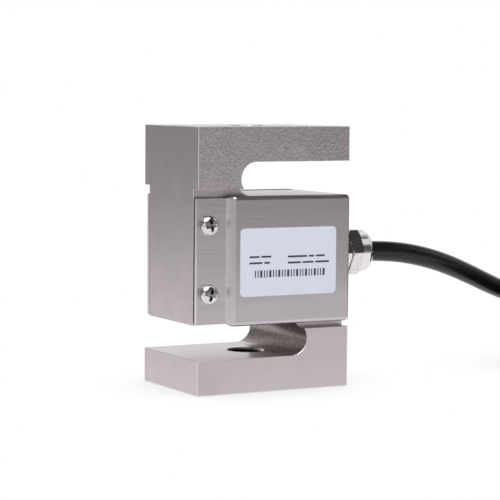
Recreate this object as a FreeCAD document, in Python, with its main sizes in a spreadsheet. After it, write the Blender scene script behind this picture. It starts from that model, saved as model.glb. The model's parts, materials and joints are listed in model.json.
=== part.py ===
import FreeCAD, Part
import math
import os
import Sketcher

# S-type load cell: a one-piece S-shaped steel beam with a threaded hole in each arm, two pressed
# covers over its gauge pockets, and a cable that leaves one end through a metal gland.
# Millimetres. X runs across the body towards the gland, Y to the rear, Z up. The origin is the centre
# of the bottom arm's face, on the loading axis that joins the two threaded holes.

SIZES = {
    # S-shaped beam
    "body_width": 50.0,
    "body_depth": 35.0,
    "body_height": 77.0,
    "arm_thickness": 10.1,
    "slot_gap": 10.0,
    "slot_reach": 11.1,          # from the loading axis to the slot's round end
    "recess_depth": 3.2,
    "recess_margin": 2.2,        # past the middle block, above and below
    "edge_break": 0.12,
    "thread_bore": 10.2,         # tapping size of M12 x 1.75
    "thread_chamfer": 0.6,
    "gauge_pocket_radius": 11.0,
    "gauge_web": 6.0,
    "wire_chamber_radius": 5.0,
    "wire_chamber_offset": 14.5,
    "web_hole_radius": 1.5,
    "web_hole_offset": 7.6,
    # covers, gaskets and screws
    "gasket_thickness": 0.8,
    "gasket_inset": 0.2,
    "gasket_rim": 1.6,
    "sheet": 1.0,
    "cover_side_gap": 0.2,
    "pan_lap_above": 0.15,       # past the middle block
    "pan_lap_below": 0.5,
    "pan_depth": 3.4,            # from the gasket to the panel's outer face
    "flange_drop": 0.4,          # inside the middle block, above and below
    "flange_width": 9.55,
    "joggle_run": 1.8,
    "pan_radius": 1.2,
    "joggle_radius": 0.8,
    "screw_inset": 4.0,          # from the body's side to the screws
    "screw_margin": 8.1,         # from the flange's end to the nearer screw
    "screw_lift": 0.35,          # the pair sits this much above mid-height
    "screw_thread": 3.0,
    "screw_hole_play": 0.35,
    "screw_hole_depth": 6.5,
    "screw_length": 6.0,
    "head_radius": 2.8,
    "head_height": 2.4,
    "head_edge": 1.15,
    "cross_width": 0.7,
    "cross_span": 3.0,
    "cross_depth": 1.3,
    # label
    "label_width": 31.9,
    "label_height": 19.7,
    "label_thickness": 0.15,
    "label_shift": 4.05,
    "label_drop": 0.55,
    "label_radius": 1.4,
    # gauges and wiring
    "gauge_length": 8.0,
    "gauge_width": 6.0,
    "gauge_thickness": 0.12,
    "coating_thickness": 0.7,
    "board_length": 4.0,
    "board_height": 9.0,
    "board_thickness": 0.8,
    "board_offset": 7.4,
    "core_diameter": 0.9,
    "core_pitch": 1.15,
    "bridge_wire_diameter": 0.6,
    # cable gland, lengths from the body's end face
    "gland_flats": 13.5,
    "gland_thread": 12.4,
    "gland_play": 0.05,
    "gland_hole_depth": 9.5,
    "gland_shank": 8.5,
    "gland_washer": 0.8,
    "gland_hex": 7.0,
    "gland_collar": 4.8,
    "gland_collar_radius": 5.6,
    "gland_passage": 3.4,
    "gland_socket_radius": 5.05,
    "gland_socket": 6.8,
    "hex_chamfer": 0.7,
    "nut_gap": 0.45,
    "nut_hex": 3.7,
    "nut_round": 2.9,
    "nut_round_radius": 6.43,
    "nut_dome": 2.1,
    "nut_dome_radius": 2.8,
    "nut_mouth": 3.2,
    "nut_lip": 0.12,
    "nut_throat": 5.2,
    "claw_wall": 0.95,
    "claw_play": 0.06,
    "claw_length": 7.6,
    "claw_slot": 0.8,
    "claw_slot_length": 5.0,
    "seal_length": 7.6,
    "cable_diameter": 5.9,
    "cable_play": 0.05,
    "cable_tail": 9.3,           # inside the body, past the end face
    # hank and tie
    "hank_run": 58.0,            # between the middles of its round ends
    "hank_across": 42.2,         # at the middle of its turns
    "hank_columns": 2.0,
    "hank_rows": 4.0,
    "tie_thickness": 1.1,
    "tie_width": 4.8,
    "tie_play": 0.25,
    "tie_head": 3.6,
    # flying leads
    "lead_diameter": 1.0,
    "lead_spacing": 1.2,         # from the jacket's middle to each lead
}
CLAW_FINGERS = 8
MITRED = 1                       # the pipe shell's corner style

doc = FreeCAD.newDocument("s_type_load_cell")
sheet = doc.addObject("Spreadsheet::Sheet", "Sizes")
for row, (alias, number) in enumerate(SIZES.items(), start=1):
    sheet.set(f"A{row}", alias.replace("_", " "))
    sheet.set(f"B{row}", str(number))
    sheet.setAlias(f"B{row}", alias)
doc.recompute()


class Size:
    """A length, held as its number and as the sheet expression that gives it."""

    def __init__(self, text, value):
        self.text = text
        self.value = value

    def __add__(self, other):
        other = size(other)
        return Size(f"({self.text} + {other.text})", self.value + other.value)

    def __sub__(self, other):
        other = size(other)
        return Size(f"({self.text} - {other.text})", self.value - other.value)

    def __mul__(self, other):
        other = size(other)
        return Size(f"({self.text} * {other.text})", self.value * other.value)

    def __truediv__(self, other):
        other = size(other)
        return Size(f"({self.text} / {other.text})", self.value / other.value)

    def __neg__(self):
        return Size(f"(-1 * {self.text})", -self.value)

    def root(self):
        return Size(f"sqrt({self.text})", math.sqrt(self.value))


def size(thing):
    if isinstance(thing, Size):
        return thing
    if isinstance(thing, str):
        return Size(f"Sizes.{thing}", getattr(sheet, thing))
    return Size(f"({float(thing)!r})", float(thing))


def bind(thing, **sizes):
    for name, length in sizes.items():
        thing.setExpression(name, size(length).text)


# ---- sketches and features -------------------------------------------------------------------

nodes = []


def new_body(name):
    body = doc.addObject("PartDesign::Body", name)
    body.Label = name
    nodes.append(body)
    return body


def sketch_on(body, role, offset=0):
    """A sketch on one of the body's origin planes, moved along the plane's normal by offset."""
    plane = next(item for item in body.Origin.OriginFeatures if item.Role == role)
    sketch = body.newObject("Sketcher::SketchObject", f"{body.Name}_sketch")
    sketch.AttachmentSupport = [(plane, "")]
    sketch.MapMode = "FlatFace"
    offset = size(offset)
    sketch.AttachmentOffset = FreeCAD.Placement(FreeCAD.Vector(0, 0, offset.value), FreeCAD.Rotation())
    sketch.setExpression("AttachmentOffset.Base.z", offset.text)
    return sketch


def pin(sketch, geometry, vertex, x, y):
    """Holds a vertex at x, y."""
    for kind, axis, length in (("DistanceX", -2, size(x)), ("DistanceY", -1, size(y))):
        if length.value == 0:
            sketch.addConstraint(Sketcher.Constraint("PointOnObject", geometry, vertex, axis))
        else:
            number = sketch.addConstraint(Sketcher.Constraint(kind, geometry, vertex, length.value))
            sketch.setExpression(f"Constraints[{number}]", length.text)


def vector(x, y):
    return FreeCAD.Vector(size(x).value, size(y).value, 0)


def polygon(sketch, corners):
    """A closed outline with every corner pinned."""
    first = sketch.GeometryCount
    count = len(corners)
    for (ax, ay), (bx, by) in zip(corners, corners[1:] + corners[:1]):
        sketch.addGeometry(Part.LineSegment(vector(ax, ay), vector(bx, by)))
    for index, (x, y) in enumerate(corners):
        following = first + (index + 1) % count
        sketch.addConstraint(Sketcher.Constraint("Coincident", first + index, 2, following, 1))
        pin(sketch, first + index, 1, x, y)
    return sketch


def rectangle(sketch, left, right, low, high):
    return polygon(sketch, [(left, low), (right, low), (right, high), (left, high)])


def circle(sketch, x, y, radius):
    shape = Part.Circle(vector(x, y), FreeCAD.Vector(0, 0, 1), size(radius).value)
    number = sketch.addGeometry(shape)
    pin(sketch, number, 3, x, y)
    constraint = sketch.addConstraint(Sketcher.Constraint("Radius", number, size(radius).value))
    sketch.setExpression(f"Constraints[{constraint}]", size(radius).text)
    return sketch


def hexagon(sketch, flats):
    """A hexagon with two corners on the sketch's own Y axis."""
    half = size(flats) / 2
    corner = half * 2 / size(3).root()
    low = corner / 2
    return polygon(sketch, [(0, corner), (-half, low), (-half, -low),
                            (0, -corner), (half, -low), (half, low)])


def pad(body, sketch, length, **flags):
    return extrude("PartDesign::Pad", body, sketch, length, flags)


def pocket(body, sketch, length, **flags):
    return extrude("PartDesign::Pocket", body, sketch, length, flags)


def extrude(kind, body, sketch, length, flags):
    feature = body.newObject(kind, f"{body.Name}_{kind[12:].lower()}")
    feature.Profile = sketch
    bind(feature, Length=length)
    for flag, state in flags.items():
        setattr(feature, flag, state)
    return feature


def turn(kind, body, sketch):
    """A full turn about the body's own Z axis."""
    feature = body.newObject(f"PartDesign::{kind}", f"{body.Name}_{kind.lower()}")
    feature.Profile = sketch
    feature.ReferenceAxis = (sketch, ["V_Axis"])
    feature.Angle = 360.0
    return feature


def turned(name, outline):
    body = new_body(name)
    turn("Revolution", body, polygon(sketch_on(body, "XZ_Plane"), outline))
    return body


def dress(kind, body, amount, wanted):
    """A chamfer or fillet on the edges that wanted picks by their two ends and middle."""
    doc.recompute()
    base = body.Tip
    names = []
    for number, edge in enumerate(base.Shape.Edges, start=1):
        points = [vertex.Point for vertex in edge.Vertexes]
        middle = edge.valueAt((edge.FirstParameter + edge.LastParameter) / 2)
        if len(points) == 2 and wanted(*points, middle):
            names.append(f"Edge{number}")
    feature = body.newObject(f"PartDesign::{kind}", f"{body.Name}_{kind.lower()}")
    feature.Base = (base, names)
    bind(feature, **{"Size" if kind == "Chamfer" else "Radius": amount})
    return feature


def near(a, b):
    return abs(a - b) < 1e-4


def place(body, x=0, y=0, z=0, axis=(0, 0, 1), angle=0):
    spot = FreeCAD.Vector(size(x).value, size(y).value, size(z).value)
    body.Placement = FreeCAD.Placement(spot, FreeCAD.Rotation(FreeCAD.Vector(*axis), angle))
    for letter, length in zip("xyz", (x, y, z)):
        body.setExpression(f"Placement.Base.{letter}", size(length).text)


def bent_path(points):
    """Straight runs joined by tangent arcs. Each arc takes 0.45 of its shorter run."""
    points = [FreeCAD.Vector(*point) for point in points]
    edges, radii, start = [], [], points[0]
    for before, corner, after in zip(points, points[1:], points[2:]):
        back, ahead = (before - corner), (after - corner)
        cut = 0.45 * min(back.Length, ahead.Length)
        turn_angle = math.pi - back.getAngle(ahead)
        radius = cut / math.tan(turn_angle / 2)
        back.normalize()
        ahead.normalize()
        enter, leave = corner + back * cut, corner + ahead * cut
        bisector = back + ahead
        bisector.normalize()
        centre = corner + bisector * math.hypot(radius, cut)
        edges.append(Part.LineSegment(start, enter).toShape())
        edges.append(Part.Arc(enter, centre - bisector * radius, leave).toShape())
        radii.append(radius)
        start = leave
    edges.append(Part.LineSegment(start, points[-1]).toShape())
    return Part.Wire(edges), radii


def swept(path, points, diameter, corners=0):
    """A round solid along a path that starts at the first point towards the second."""
    start, towards = (FreeCAD.Vector(*point) for point in points[:2])
    section = Part.Wire([Part.Circle(start, towards - start, diameter / 2).toShape()])
    solid = path.makePipeShell([section], True, False, corners)
    expected = math.pi * diameter ** 2 / 4 * path.Length
    if abs(solid.Volume - expected) > 0.01 * expected:
        raise ValueError(f"tube volume {solid.Volume:.1f} where {expected:.1f} was expected")
    return solid


def tube(points, diameter):
    """A cord's solid along a bent path, and the path's length and radii."""
    path, radii = bent_path(points)
    return swept(path, points, diameter), path.Length, radii


def kinked(points, diameter):
    """A wire inside the housing: straight runs with mitred corners."""
    ends = [FreeCAD.Vector(*point) for point in points]
    runs = [Part.LineSegment(a, b).toShape() for a, b in zip(ends, ends[1:])]
    return swept(Part.Wire(runs), points, diameter, MITRED)


def feature(name, shape, placement=None):
    """A piece whose shape comes from Part's own functions."""
    piece = doc.addObject("Part::Feature", name)
    piece.Label = name
    piece.Shape = shape
    if placement is not None:
        piece.Placement = placement
    nodes.append(piece)
    return piece


# ---- shared places ---------------------------------------------------------------------------

half_width = size("body_width") / 2
half_depth = size("body_depth") / 2
middle = size("body_height") / 2
slot_radius = size("slot_gap") / 2
block_low = size("arm_thickness") + "slot_gap"
block_high = size("body_height") - block_low
recess_low = block_low - "recess_margin"
recess_high = block_high + "recess_margin"
recess_face = half_depth - "recess_depth"
web_face = size("gauge_web") / 2
seat = recess_face + "gasket_thickness"
flange_face = seat + "sheet"
panel_face = seat + "pan_depth"
pan_left = -half_width + "cover_side_gap"
joggle_left = pan_left + "flange_width"
joggle_right = joggle_left + "joggle_run"
pan_low = block_low - "pan_lap_below"
pan_high = block_high + "pan_lap_above"
pan_height = pan_high - pan_low
flange_low = block_low + "flange_drop"
flange_high = block_high - "flange_drop"
screw_x = -half_width + "screw_inset"
screw_heights = [flange_high - "screw_margin" + "screw_lift", flange_low + "screw_margin" + "screw_lift"]
thread_radius = size("thread_bore") / 2
cable_radius = size("cable_diameter") / 2
SIDES = {"front": -1, "rear": 1}


# ---- beam ------------------------------------------------------------------------------------

def slot_end(sketch, before, after, x):
    """The round end of a slot, tangent to the lines before and after it."""
    low = min(sketch.Geometry[before].EndPoint.y, sketch.Geometry[after].StartPoint.y)
    centre = FreeCAD.Vector(size(x).value, low + slot_radius.value, 0)
    inward = -1 if sketch.Geometry[before].StartPoint.x > centre.x else 1
    round_ = Part.Circle(centre, FreeCAD.Vector(0, 0, 1), slot_radius.value)
    turn_from = math.pi / 2 if inward < 0 else -math.pi / 2
    arc = sketch.addGeometry(Part.ArcOfCircle(round_, turn_from, turn_from + math.pi))
    rising = sketch.Geometry[before].EndPoint.y < sketch.Geometry[after].StartPoint.y
    first, last = (1, 2) if rising == (inward > 0) else (2, 1)
    sketch.addConstraint(Sketcher.Constraint("Tangent", before, 2, arc, first))
    sketch.addConstraint(Sketcher.Constraint("Tangent", arc, last, after, 1))
    number = sketch.addConstraint(Sketcher.Constraint("DistanceX", arc, 3, size(x).value))
    sketch.setExpression(f"Constraints[{number}]", size(x).text)


def s_outline(sketch):
    """The S: the upper slot opens to the gland's side and the lower slot to the other."""
    left, right, top = -half_width, half_width, size("body_height")
    bottom_slot, top_slot = size("arm_thickness"), top - "arm_thickness"
    centre = size("slot_reach") - slot_radius
    runs = [
        [(centre, bottom_slot), (left, bottom_slot), (left, 0), (right, 0), (right, block_high),
         (-centre, block_high)],
        [(-centre, top_slot), (right, top_slot), (right, top), (left, top), (left, block_low),
         (centre, block_low)],
    ]
    ends = []
    for run in runs:
        first = sketch.GeometryCount
        for (ax, ay), (bx, by) in zip(run, run[1:]):
            sketch.addGeometry(Part.LineSegment(vector(ax, ay), vector(bx, by)))
        last = sketch.GeometryCount - 1
        for index in range(first, last):
            sketch.addConstraint(Sketcher.Constraint("Coincident", index, 2, index + 1, 1))
            pin(sketch, index, 2, *run[index - first + 1])
        sketch.addConstraint(Sketcher.Constraint("Horizontal", first))
        sketch.addConstraint(Sketcher.Constraint("Horizontal", last))
        ends.append((first, last))
    slot_end(sketch, ends[0][1], ends[1][0], -centre)
    slot_end(sketch, ends[1][1], ends[0][0], centre)
    return sketch


def threaded_hole(body, low, high):
    """A hole on the loading axis from low to high, chamfered at both rims."""
    wide = thread_radius + "thread_chamfer"
    low, high = size(low), size(high)
    outline = [(0, low), (wide, low), (thread_radius, low + "thread_chamfer"),
               (thread_radius, high - "thread_chamfer"), (wide, high), (0, high)]
    turn("Groove", body, polygon(sketch_on(body, "XZ_Plane"), outline))


def beam():
    body = new_body("s_beam_body")
    pad(body, s_outline(sketch_on(body, "XZ_Plane")), "body_depth", Midplane=True)
    recess = sketch_on(body, "YZ_Plane")
    rectangle(recess, -half_depth * 1.2, -recess_face, recess_low, recess_high)
    rectangle(recess, recess_face, half_depth * 1.2, recess_low, recess_high)
    pocket(body, recess, size("body_width") * 1.2, Midplane=True)
    left, right, deep = half_width.value, half_width.value, half_depth.value
    doc.recompute()
    dress("Chamfer", body, "edge_break", lambda a, b, m: (
        near(abs(a.x), left) and near(abs(b.x), right) and near(abs(m.x), left)
        or near(abs(a.y), deep) and near(abs(b.y), deep) and near(abs(m.y), deep)))
    threaded_hole(body, 0, "arm_thickness")
    threaded_hole(body, size("body_height") - "arm_thickness", "body_height")
    pocket_depth = half_depth - web_face
    for side in SIDES.values():
        gauge = circle(sketch_on(body, "XZ_Plane", half_depth * -side), 0, middle, "gauge_pocket_radius")
        pocket(body, gauge, pocket_depth, Reversed=side > 0)
        holes = sketch_on(body, "XZ_Plane", recess_face * -side)
        for height in screw_heights:
            circle(holes, screw_x, height, size("screw_thread") / 2 - "gland_play")
        pocket(body, holes, "screw_hole_depth", Reversed=side > 0)
    chamber = sketch_on(body, "XZ_Plane", half_depth)
    pocket(body, circle(chamber, "wire_chamber_offset", middle, "wire_chamber_radius"), half_depth)
    passage = sketch_on(body, "XZ_Plane")
    pocket(body, circle(passage, -size("web_hole_offset"), middle, "web_hole_radius"), "body_depth",
           Midplane=True)
    entry = sketch_on(body, "YZ_Plane", half_width)
    pocket(body, circle(entry, 0, middle, size("gland_thread") / 2 + "gland_play"), "gland_hole_depth")
    return body


# ---- covers ----------------------------------------------------------------------------------

def flange_corners(sketch, inset=0):
    """The strips above and below the flange, which is lower than the pan beside it."""
    beyond = pan_left - "sheet"
    for edge, rim, out in ((flange_high, pan_high, 1), (flange_low, pan_low, -1)):
        far = rim + size("sheet") * out
        polygon(sketch, [(beyond, edge - size(inset) * out), (joggle_left, edge - size(inset) * out),
                         (joggle_right, rim - size(inset) * out), (joggle_right, far), (beyond, far)])
    return sketch


def cover(name, side):
    """One pressed sheet: a screwed flange, a joggle, and a panel with its rim turned back."""
    body = new_body(name)
    rise = panel_face - flange_face
    slope = (size("joggle_run") * "joggle_run" + rise * rise).root()
    shift = (slope - "joggle_run") * "sheet" / rise
    inner = panel_face - "sheet"
    outer = [(pan_left, seat * side), (pan_left, flange_face * side), (joggle_left, flange_face * side),
             (joggle_right, panel_face * side), (half_width, panel_face * side), (half_width, seat * side)]
    hollow = [(joggle_left + shift, seat * side), (joggle_right + shift, inner * side),
              (half_width - "sheet", inner * side), (half_width - "sheet", seat * side)]
    pad(body, polygon(sketch_on(body, "XY_Plane", pan_low), outer), pan_height)
    low, high = pan_low.value, pan_high.value
    right, face = half_width.value, panel_face.value * side
    doc.recompute()
    dress("Fillet", body, "pan_radius", lambda a, b, m: (
        near(m.y, face) and (near(m.z, low) or near(m.z, high) or near(m.x, right))
        or near(m.x, right) and near(a.x, right) and not near(m.y, seat.value * side)
        and (near(m.z, low) or near(m.z, high))))
    bends = (joggle_left.value, joggle_right.value)
    dress("Fillet", body, "joggle_radius", lambda a, b, m: (
        any(near(a.x, x) and near(b.x, x) for x in bends) and abs(a.z - b.z) > abs(a.y - b.y)))
    through = size("body_depth") * 1.2
    pocket(body, flange_corners(sketch_on(body, "XZ_Plane")), through, Midplane=True)
    hollow_sketch = polygon(sketch_on(body, "XY_Plane", pan_low + "sheet"), hollow)
    pocket(body, hollow_sketch, pan_height - size("sheet") * 2, Reversed=True)
    holes = sketch_on(body, "XZ_Plane")
    for height in screw_heights:
        circle(holes, screw_x, height, (size("screw_thread") + "screw_hole_play") / 2)
    pocket(body, holes, through, Midplane=True)
    return body


def gasket(name, side):
    """A flat rubber frame under the cover's flange and rim."""
    body = new_body(name)
    inset, rim = size("gasket_inset"), size("gasket_rim")
    sketch = sketch_on(body, "XZ_Plane", recess_face * -side)
    rectangle(sketch, pan_left + inset, half_width - inset, pan_low + inset * 2, pan_high - inset * 2)
    rectangle(sketch, joggle_right, half_width - rim, pan_low + rim, pan_high - rim)
    for height in screw_heights:
        circle(sketch, screw_x, height, (size("screw_thread") + "screw_hole_play") / 2)
    pad(body, sketch, "gasket_thickness", Reversed=side > 0)
    pocket(body, flange_corners(sketch_on(body, "XZ_Plane"), inset), "body_depth", Midplane=True)
    return body


def cover_screw(name, side, height):
    """A cross-recess pan-head screw, made head up and turned to face out of the cover."""
    body = new_body(name)
    shank = size("screw_thread") / 2 - size("gland_play") * 2
    sketch = sketch_on(body, "XZ_Plane")
    corners = [(0, -size("screw_length")), (shank, -size("screw_length")), (shank, 0),
               ("head_radius", 0), ("head_radius", "head_edge")]
    for (ax, ay), (bx, by) in zip(corners, corners[1:]):
        sketch.addGeometry(Part.LineSegment(vector(ax, ay), vector(bx, by)))
    dome = (size("head_height") - "head_edge")
    radius = (size("head_radius") * "head_radius" + dome * dome) / (dome * 2)
    centre = size("head_height") - radius
    ball = Part.Circle(vector(0, centre), FreeCAD.Vector(0, 0, 1), radius.value)
    from_angle = math.atan2(size("head_edge").value - centre.value, size("head_radius").value)
    arc = sketch.addGeometry(Part.ArcOfCircle(ball, from_angle, math.pi / 2))
    axis = sketch.addGeometry(Part.LineSegment(vector(0, "head_height"), vector(*corners[0])))
    for index in range(len(corners) - 1):
        sketch.addConstraint(Sketcher.Constraint("Coincident", index, 2, index + 1, 1))
        pin(sketch, index, 1, *corners[index])
    sketch.addConstraint(Sketcher.Constraint("Coincident", arc, 2, axis, 1))
    sketch.addConstraint(Sketcher.Constraint("Coincident", axis, 2, 0, 1))
    pin(sketch, arc, 1, *corners[-1])
    pin(sketch, arc, 2, 0, "head_height")
    sketch.addConstraint(Sketcher.Constraint("PointOnObject", arc, 3, -2))
    turn("Revolution", body, sketch)
    arm, half = size("cross_span") / 2, size("cross_width") / 2
    cross = [(half, half), (arm, half), (arm, -half), (half, -half), (half, -arm), (-half, -arm),
             (-half, -half), (-arm, -half), (-arm, half), (-half, half), (-half, arm), (half, arm)]
    pocket(body, polygon(sketch_on(body, "XY_Plane", "head_height"), cross), "cross_depth")
    place(body, screw_x, flange_face * side, height, (1, 0, 0), -90 * side)
    return body


def label():
    body = new_body("label")
    sketch = sketch_on(body, "XZ_Plane", panel_face)
    wide, high = size("label_width") / 2, size("label_height") / 2
    centre_x, centre_z = size("label_shift"), middle - "label_drop"
    rectangle(sketch, centre_x - wide, centre_x + wide, centre_z - high, centre_z + high)
    pad(body, sketch, "label_thickness")
    dress("Fillet", body, "label_radius", lambda a, b, m: near(a.x, b.x) and near(a.z, b.z))
    return body


# ---- gauges and wiring -----------------------------------------------------------------------

def plate(name, side, x, long, high, inner, thick):
    """A flat piece on the gauge web, standing off it by inner."""
    body = new_body(name)
    sketch = sketch_on(body, "XZ_Plane", (web_face + inner) * -side)
    rectangle(sketch, size(x) - size(long) / 2, size(x) + size(long) / 2,
              middle - size(high) / 2, middle + size(high) / 2)
    pad(body, sketch, thick, Reversed=side > 0)
    return body


def gauges():
    for word, side in SIDES.items():
        plate(f"{word}_strain_gauge", side, 0, "gauge_length", "gauge_width", 0, "gauge_thickness")
        plate(f"{word}_gauge_coating", side, 0, "gauge_length", "gauge_width", "gauge_thickness",
              "coating_thickness")
    plate("terminal_board", -1, "board_offset", "board_length", "board_height", 0, "board_thickness")


def wiring():
    """The cable's cores run to the board, and the rear gauge's wires pass through the web."""
    core, pitch = size("core_diameter").value, size("core_pitch").value
    tail = half_width.value - size("cable_tail").value
    board = -(web_face.value + size("board_thickness").value + core / 2)
    end = size("board_offset").value + size("board_length").value / 4
    cores = []
    for number in range(4):
        z = middle.value + pitch * (number - 1.5)
        spread = middle.value + 1.5 * pitch * (number - 1.5)
        route = [(tail, -1.0, z), (tail - 1.4, -1.0, z), (tail - 3.0, board, (z + spread) / 2),
                 (end, board, spread)]
        cores.append(kinked(route, core))
    feature("core_wires", Part.makeCompound(cores))
    wire = size("bridge_wire_diameter").value
    coating = web_face.value + size("gauge_thickness").value + size("coating_thickness").value
    hole, gauge_end = size("web_hole_offset").value, size("gauge_length").value / 2
    front = -(coating + 2 * wire)
    bridge = []
    for lift in (-wire, wire):
        z = middle.value + lift
        route = [(-gauge_end - wire, coating, z), (-hole, coating, z), (-hole, front, z),
                 (end - 2.2, front, z + 2 * lift), (end - 2.2, -(coating + wire / 2), z + 2 * lift)]
        bridge.append(kinked(route, wire))
    feature("bridge_wires", Part.makeCompound(bridge))


# ---- cable gland -----------------------------------------------------------------------------

hex_from = size("gland_washer")
hex_to = hex_from + "gland_hex"
collar_to = hex_to + "gland_collar"
nut_from = hex_to + "nut_gap"
nut_hex_to = nut_from + "nut_hex"
nut_round_to = nut_hex_to + "nut_round"
nut_to = nut_round_to + "nut_dome"
socket_from = collar_to - "gland_socket"
hex_half = size("gland_flats") / 2
hex_corner = hex_half * 2 / size(3).root()


def on_gland_axis(body):
    place(body, half_width, 0, middle, (0, 1, 0), 90)
    return body


def trim_corners(body, low, high):
    """Turns the hexagon's corners down at both of its ends."""
    out, chamfer = hex_corner * 1.2, size("hex_chamfer")
    run = chamfer * 1.3
    for end, inward in ((low, 1), (high, -1)):
        sketch = sketch_on(body, "XZ_Plane")
        slope_at = (out - hex_corner + chamfer) / chamfer
        polygon(sketch, [(hex_corner - chamfer, end), (out, end + run * slope_at * inward / 2),
                         (out, end - run * inward), (hex_corner - chamfer, end - run * inward)])
        turn("Groove", body, sketch)


def gland_body():
    body = new_body("gland_body")
    pad(body, hexagon(sketch_on(body, "XY_Plane", hex_from), "gland_flats"), "gland_hex")
    trim_corners(body, hex_from, hex_to)
    thread = size("gland_thread") / 2
    shank = sketch_on(body, "XZ_Plane")
    start = -size("gland_shank")
    polygon(shank, [(0, start), (thread - "hex_chamfer", start), (thread, start + "hex_chamfer"),
                    (thread, hex_from), (0, hex_from)])
    turn("Revolution", body, shank)
    collar = sketch_on(body, "XZ_Plane")
    edge = size("gland_collar_radius")
    polygon(collar, [(0, hex_to), (edge, hex_to), (edge, collar_to - "hex_chamfer"),
                     (edge - size("hex_chamfer") / 2, collar_to), (0, collar_to)])
    turn("Revolution", body, collar)
    bore = sketch_on(body, "XZ_Plane")
    narrow, wide = size("gland_passage"), size("gland_socket_radius")
    polygon(bore, [(0, start - 1), (narrow, start - 1), (narrow, socket_from), (wide, socket_from),
                   (wide, collar_to + 1), (0, collar_to + 1)])
    turn("Groove", body, bore)
    return on_gland_axis(body)


def dome_nut():
    """A hexagon that turns into a round dome, threaded inside and coned to press the claw in."""
    body = new_body("gland_dome_nut")
    pad(body, hexagon(sketch_on(body, "XY_Plane", nut_from), "gland_flats"), "nut_hex")
    trim_corners(body, nut_from, nut_hex_to)
    around, mouth = size("nut_round_radius"), size("nut_mouth")
    dome = sketch_on(body, "XZ_Plane")
    lip = mouth + "nut_lip"
    corners = [(lip, nut_to), (0, nut_to), (0, nut_hex_to), (around, nut_hex_to), (around, nut_round_to)]
    for (ax, ay), (bx, by) in zip(corners, corners[1:]):
        dome.addGeometry(Part.LineSegment(vector(ax, ay), vector(bx, by)))
    start, stop = vector(around, nut_round_to), vector(lip, nut_to)
    chord = stop - start
    rim = size("nut_dome_radius")
    sagitta = rim.value - math.sqrt(rim.value ** 2 - chord.Length ** 2 / 4)
    outward = FreeCAD.Vector(chord.y, -chord.x, 0).normalize()
    top = start + chord * 0.5 + outward * sagitta
    arc = dome.addGeometry(Part.Arc(start, top, stop))
    for index in range(len(corners) - 1):
        pin(dome, index, 1, *corners[index])
        if index:
            dome.addConstraint(Sketcher.Constraint("Coincident", index - 1, 2, index, 1))
    last = len(corners) - 2
    pin(dome, last, 2, *corners[-1])
    dome.addConstraint(Sketcher.Constraint("Coincident", last, 2, arc, 1))
    dome.addConstraint(Sketcher.Constraint("Coincident", arc, 2, 0, 1))
    number = dome.addConstraint(Sketcher.Constraint("Radius", arc, rim.value))
    dome.setExpression(f"Constraints[{number}]", rim.text)
    turn("Revolution", body, dome)
    inside = sketch_on(body, "XZ_Plane")
    thread, throat = size("gland_collar_radius") + "gland_play", size("nut_throat")
    neck = collar_to + "nut_gap"
    polygon(inside, [(0, nut_from - 1), (thread, nut_from - 1), (thread, neck), (throat, neck),
                     (mouth, nut_to - size("nut_dome") / 3), (mouth, nut_to + 1), (0, nut_to + 1)])
    turn("Groove", body, inside)
    return on_gland_axis(body)


def clamping_claw():
    """A plastic sleeve whose slotted fingers close on the seal."""
    outer = size("gland_socket_radius") - "claw_play"
    inner = outer - "claw_wall"
    tip = socket_from + "claw_length"
    bevel = tip - "hex_chamfer"
    body = turned("gland_claw", [(inner, socket_from), (outer, socket_from), (outer, bevel),
                                 (outer - "hex_chamfer", tip), (inner, tip)])
    half = size("claw_slot") / 2
    sketch = sketch_on(body, "XY_Plane", tip)
    rectangle(sketch, 0, outer + 1, -half, half)
    slot = pocket(body, sketch, "claw_slot_length")
    doc.recompute()
    fingers = body.newObject("PartDesign::PolarPattern", "claw_fingers")
    fingers.Originals = [slot]
    fingers.Axis = (sketch, ["N_Axis"])
    fingers.Angle = 360.0
    fingers.Occurrences = CLAW_FINGERS
    body.Tip = fingers
    return on_gland_axis(body)


def gland():
    thread = size("gland_thread") / 2 + "gland_play"
    rim = hex_half - "gland_play"
    on_gland_axis(turned("gland_washer", [(thread, 0), (rim, 0), (rim, hex_from), (thread, hex_from)]))
    gland_body()
    clamping_claw()
    inner = cable_radius + "cable_play"
    outer = size("gland_socket_radius") - "claw_wall" - size("claw_play") * 2
    end = socket_from + "seal_length"
    on_gland_axis(turned("gland_seal", [(inner, socket_from), (outer, socket_from), (outer, end),
                                        (inner, end)]))
    dome_nut()


# ---- cable, hank and leads -------------------------------------------------------------------

cable = size("cable_diameter").value
hank_mean = size("hank_across").value / 2
hank_run = size("hank_run").value
hank_width = size("hank_columns").value * cable
hank_high = size("hank_rows").value * cable
hank_outer = hank_mean + hank_width / 2
hank_x, hank_y = 120.4, -14.0              # the middle of its nearer end
hank_end = hank_x + hank_run
entry_y = hank_y + hank_outer - cable / 2
entry_z = hank_high - cable / 2
lead_lane = hank_y - hank_outer + cable / 2
lead_room = 42.0                           # along the hank, past the jacket's end
seal_face = half_width.value + socket_from.value
ROUTE = [
    (seal_face, 0.0, middle.value),
    (44.6, 0.0, middle.value),
    (57.6, 0.35, 37.25),
    (70.6, 1.6, 34.1),
    (83.0, 3.9, 29.6),
    (94.6, 6.8, 25.0),
    (104.0, 9.0, 21.9),
    (112.2, entry_y, entry_z),
    (hank_x, entry_y, entry_z),
]


def cable_pieces():
    solid, length, radii = tube(ROUTE, cable)
    print("cable tube length", round(length, 1), "radii", [round(radius) for radius in radii])
    feature("cable", solid)
    tail = half_width.value - size("cable_tail").value
    axis = FreeCAD.Vector(1, 0, 0)
    start = FreeCAD.Vector(tail, 0, middle.value)
    feature("cable_inner_end", Part.makeCylinder(cable / 2, seal_face - tail, start, axis))


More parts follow.
